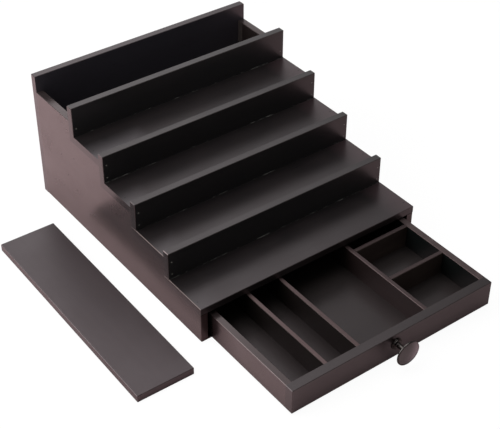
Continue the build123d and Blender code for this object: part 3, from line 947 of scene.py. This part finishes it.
knob_low, knob_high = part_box("drawer_knob")
face_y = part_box("drawer_front")[0][1]
knob_x = (knob_low[0] + knob_high[0]) / 2
knob_z = (knob_low[2] + knob_high[2]) / 2
turning = bmesh.new()
points = [turning.verts.new((knob_x + radius * MM, face_y - reach * MM, knob_z)) for radius, reach in outline]
edges = [turning.edges.new(pair) for pair in zip(points, points[1:])]
bmesh.ops.spin(turning, geom=points + edges, cent=(knob_x, face_y, knob_z), axis=(0.0, 1.0, 0.0),
               angle=2 * pi, steps=SPIN_STEPS, use_merge=True)
bmesh.ops.remove_doubles(turning, verts=turning.verts, dist=SAME_POINT)
bmesh.ops.recalc_face_normals(turning, faces=turning.faces)
knob = new_piece("turned_knob", turning, "drawer")
knob.data.materials.append(knob_bronze)
for polygon in knob.data.polygons:
    polygon.use_smooth = True
knob.data.set_sharp_from_angle(angle=CRISP_ANGLE)
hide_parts("drawer_knob")
print("knob faces:", len(knob.data.polygons))

# %% [markdown]
# ## Dried glue
#
# Each riser was glued down on its tread, and a little glue crept out along the joint and was sprayed over.
# The photograph shows it as a thin broken light line in every inner corner. The breaks come from noise that
# is stretched along the joint: the lacquer covers the glue there.

# %% A finish for dried glue
GLUE_GREY = (0.095, 0.095, 0.088, 1.0)
BREAKS_PER_METRE = (60.0, 15.0, 15.0)
BREAK_LEVELS = (0.52, 0.62)
GLUE_ROUGHNESS = 0.45
BARE_ROUGHNESS = 0.2
GLUE_SPECULAR = 0.15
GRIT_PER_METRE = 900.0
GRIT_STRENGTH = 0.4
GRIT_DEPTH = 0.05 * MM

dried_glue, tree, shader, place = start_finish("dried_glue")
breaks = stretched_noise(tree, place["Object"], BREAKS_PER_METRE, detail=4.0, roughness=0.75)
bare = remap(tree, breaks, *BREAK_LEVELS)
colour = blend(tree, bare, COOL_BLACK, GLUE_GREY)
rough = maths(tree, "MULTIPLY_ADD", breaks, BARE_ROUGHNESS, GLUE_ROUGHNESS)
feed_named(tree, shader, Base_Color=colour, Roughness=rough, Specular_IOR_Level=GLUE_SPECULAR)
emboss(tree, shader, noise(tree, place["Object"], GRIT_PER_METRE), GRIT_STRENGTH, GRIT_DEPTH)
print("glue finish:", dried_glue.name)

# %% [markdown]
# ## Glue in the corners
#
# A bead is squeezed out like toothpaste: one small flat section is extruded a step at a time along the
# corner, and scaled at each step so that it swells and thins. Its two hidden sides lie a hair inside the
# wood, and the scaling starts from where they meet. Three sine waves of unlike lengths make its size wander.

# %% Lay the glue beads
BEAD_STEP = 1.5 * MM
BEAD_INSET = 1.5 * MM
BEAD_ROOT = 0.04 * MM
BEAD_SECTION = [(0.0, 0.0), (0.0, 1.0), (-0.45, 0.45), (-1.0, 0.0)]
BEAD_SIZE = 0.62
BEAD_SWING = 0.13
BEAD_WAVES = [(1.0, 71.0, 0.0), (0.7, 173.0, 1.3), (0.5, 411.0, 0.0)]
BEAD_SHIFT = 0.31


def bead_size(x, number):
    """The height of a bead at x, in metres. It wanders between a third and nine tenths of a millimetre."""
    metres = x + BEAD_SHIFT * number
    wave = sum(share * sin(metres * waves + phase * number) for share, waves, phase in BEAD_WAVES)
    return (BEAD_SIZE + BEAD_SWING * wave) * MM


def glue_bead(number, corner_y, corner_z, low_x, high_x):
    """A bead along X in the corner between a riser's front and the tread before it."""
    bead = bmesh.new()
    root = Vector((low_x, corner_y + BEAD_ROOT, corner_z - BEAD_ROOT))
    size = bead_size(low_x, number)
    cap = bead.faces.new([bead.verts.new(root + size * Vector((0.0, y, z))) for y, z in BEAD_SECTION])
    count = int((high_x - low_x) / BEAD_STEP)
    stride = Vector(((high_x - low_x) / count, 0.0, 0.0))
    for _ in range(count):
        grown = bmesh.ops.extrude_face_region(bead, geom=[cap])["geom"]
        cap = next(item for item in grown if isinstance(item, bmesh.types.BMFace))
        root += stride
        next_size = bead_size(root.x, number)
        swell = next_size / size
        size = next_size
        bmesh.ops.translate(bead, verts=cap.verts, vec=stride)
        bmesh.ops.scale(bead, verts=cap.verts, vec=(1.0, swell, swell), space=Matrix.Translation(-root))
    bmesh.ops.recalc_face_normals(bead, faces=bead.faces)
    piece = new_piece("glue_bead_" + str(number), bead, "case")
    piece.data.materials.append(dried_glue)
    return piece


for number in range(1, 5):
    low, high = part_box("riser_" + str(number))
    bead = glue_bead(number, low[1], low[2], low[0] + BEAD_INSET, high[0] - BEAD_INSET)
    print(bead.name, "faces:", len(bead.data.polygons))

# %% [markdown]
# ## White paper
#
# The object is nearly black and satin, so it shows the room more than its own colour. In the photograph its
# left side mirrors bright paper, which is a little darker towards the front right. The floor is a pale
# plane. The camera sees it as white: Light Path's Is Camera Ray mixes in a white emission, weak enough that
# the shadow under the boards still shows. Glossy and transmission rays see the paper with a painted falloff
# of light, darker towards the front right, and a painted pink.

# %% Paper floor
FLOOR_SIZE = 6.0
FLOOR_DROP = 0.05 * MM
FLOOR_COLOUR = (0.84, 0.82, 0.82, 1.0)
FLOOR_ROUGHNESS = 0.9
PAPER_WHITE = (1.0, 1.0, 1.0, 1.0)
# A painted pink, seen only in reflections of the paper.
PAINTED_PINK_REFLECTION = (0.98, 0.755, 0.765, 1.0)
BEHIND_LEFT = (-0.62, 0.78, 0.0)
FALLOFF_SPAN = (-0.35, 0.30)
FALLOFF_DARKEST = 0.52
CAMERA_GLOW = 1.05
MIRROR_GLOW = 1.3
CAMERA_WHITENING = 0.9
MIRROR_WHITENING = 0.05


def sees_mirrored(tree, rays):
    """1 for the rays that draw a mirror image or pass through glass, else 0."""
    return maths(tree, "MAXIMUM", rays["Is Glossy Ray"], rays["Is Transmission Ray"])


paper, tree, shader, place = start_finish("white_paper")
rays = add(tree, "ShaderNodeLightPath").outputs
mirror_ray = sees_mirrored(tree, rays)
# A painted falloff of light over the paper, darker towards the front right.
painted_falloff = remap(tree, dot(tree, place["Object"], BEHIND_LEFT), *FALLOFF_SPAN, new_low=FALLOFF_DARKEST)
grey = feed_all(tree, add(tree, "ShaderNodeCombineColor"), (painted_falloff, painted_falloff, painted_falloff)).outputs[0]
mirrored = blend(tree, 1.0, grey, PAINTED_PINK_REFLECTION, "MULTIPLY")
colour = blend(tree, mirror_ray, FLOOR_COLOUR, mirrored)
feed_named(tree, shader, Base_Color=colour, Roughness=FLOOR_ROUGHNESS)
glow_colour = blend(tree, mirror_ray, PAPER_WHITE, mirrored)
glow_strength = remap(tree, mirror_ray, 0.0, 1.0, CAMERA_GLOW, MIRROR_GLOW)
glow = feed_named(tree, add(tree, "ShaderNodeEmission"), Color=glow_colour, Strength=glow_strength)
seen_white = maths(tree, "MULTIPLY", rays["Is Camera Ray"], CAMERA_WHITENING)
whitened = maths(tree, "MAXIMUM", seen_white, maths(tree, "MULTIPLY", mirror_ray, MIRROR_WHITENING))
paper_mix = add(tree, "ShaderNodeMixShader")
feed_all(tree, paper_mix, (whitened, shader.outputs[0], glow.outputs[0]))
feed(tree, tree.nodes["Material Output"].inputs["Surface"], paper_mix.outputs[0])

sheet = bmesh.new()
bmesh.ops.create_grid(sheet, x_segments=1, y_segments=1, size=FLOOR_SIZE / 2)
bmesh.ops.translate(sheet, vec=(0.0, 0.0, -FLOOR_DROP), verts=sheet.verts)
floor_mesh = bpy.data.meshes.new("paper_floor")
sheet.to_mesh(floor_mesh)
sheet.free()
floor = bpy.data.objects.new("paper_floor", floor_mesh)
floor.data.materials.append(paper)
bpy.context.scene.collection.objects.link(floor)
print("floor of", FLOOR_SIZE, "metres")

# %% [markdown]
# ## The room
#
# Behind the case the shelves mirror a bright wall, and the rest of the room is dimmer. The world gives both:
# the direction of a ray is compared with the direction of the wall, and two soft ramps make the wall's glow
# and its surroundings for the mirror images. For the other rays the world is an even weak fill, and the
# camera sees it as white.

# %% World
FILL_STRENGTH = 0.22
WALL_STRENGTH = 1.24
SIDE_STRENGTH = 0.43
ROOM_STRENGTH = 0.14
WALL_HEADING = radians(11.0)
WALL_HEIGHT = radians(37.7)
WALL_BORDER = (0.874, 0.978)
SIDE_BORDER = (0.83, 0.91)

world = bpy.data.worlds.new("pale_studio")
world.use_nodes = True
bpy.context.scene.world = world
tree = world.node_tree
background = tree.nodes["Background"]
background.inputs["Color"].default_value = PAPER_WHITE
rays = add(tree, "ShaderNodeLightPath").outputs
mirror_ray = sees_mirrored(tree, rays)
level = cos(WALL_HEIGHT)
wall_direction = (sin(WALL_HEADING) * level, cos(WALL_HEADING) * level, sin(WALL_HEIGHT))
towards = dot(tree, add(tree, "ShaderNodeTexCoord").outputs["Generated"], wall_direction)
near_wall = remap(tree, towards, *WALL_BORDER, 0.0, WALL_STRENGTH - SIDE_STRENGTH, smooth=True)
room = remap(tree, towards, *SIDE_BORDER, ROOM_STRENGTH, SIDE_STRENGTH, smooth=True)
mirrored = maths(tree, "MULTIPLY", maths(tree, "ADD", near_wall, room), mirror_ray)
fill = maths(tree, "MULTIPLY", inverse(tree, mirror_ray), FILL_STRENGTH)
lit = maths(tree, "ADD", mirrored, fill)
feed(tree, background.inputs["Strength"], maths(tree, "MAXIMUM", lit, rays["Is Camera Ray"]))
print("wall direction:", [round(part, 3) for part in wall_direction])

# %% [markdown]
# ## Two softboxes
#
# Two large area lamps give the soft direction of the light: one stands at the left rear, and a weaker one
# hangs overhead. A large lamp close by makes soft shadows. Each is turned with to_track_quat, which points
# its own -Z axis at a target.

# %% Lamps
def softbox(name, place, target, size, watts):
    """A square area lamp that looks at a target."""
    data = bpy.data.lights.new(name, "AREA")
    data.shape = "SQUARE"
    data.size = size
    data.energy = watts
    lamp = bpy.data.objects.new(name, data)
    lamp.location = place
    lamp.rotation_euler = (Vector(target) - Vector(place)).to_track_quat("-Z", "Y").to_euler()
    bpy.context.scene.collection.objects.link(lamp)
    print(name, "of", watts, "watts")


softbox("left_softbox", place=(-1.425, 0.577, 1.117), target=(0.0, -0.05, 0.05), size=1.8, watts=29.0)
softbox("overhead_softbox", place=(0.1, 0.1, 2.2), target=(0.0, 0.0, 0.0), size=1.6, watts=19.0)
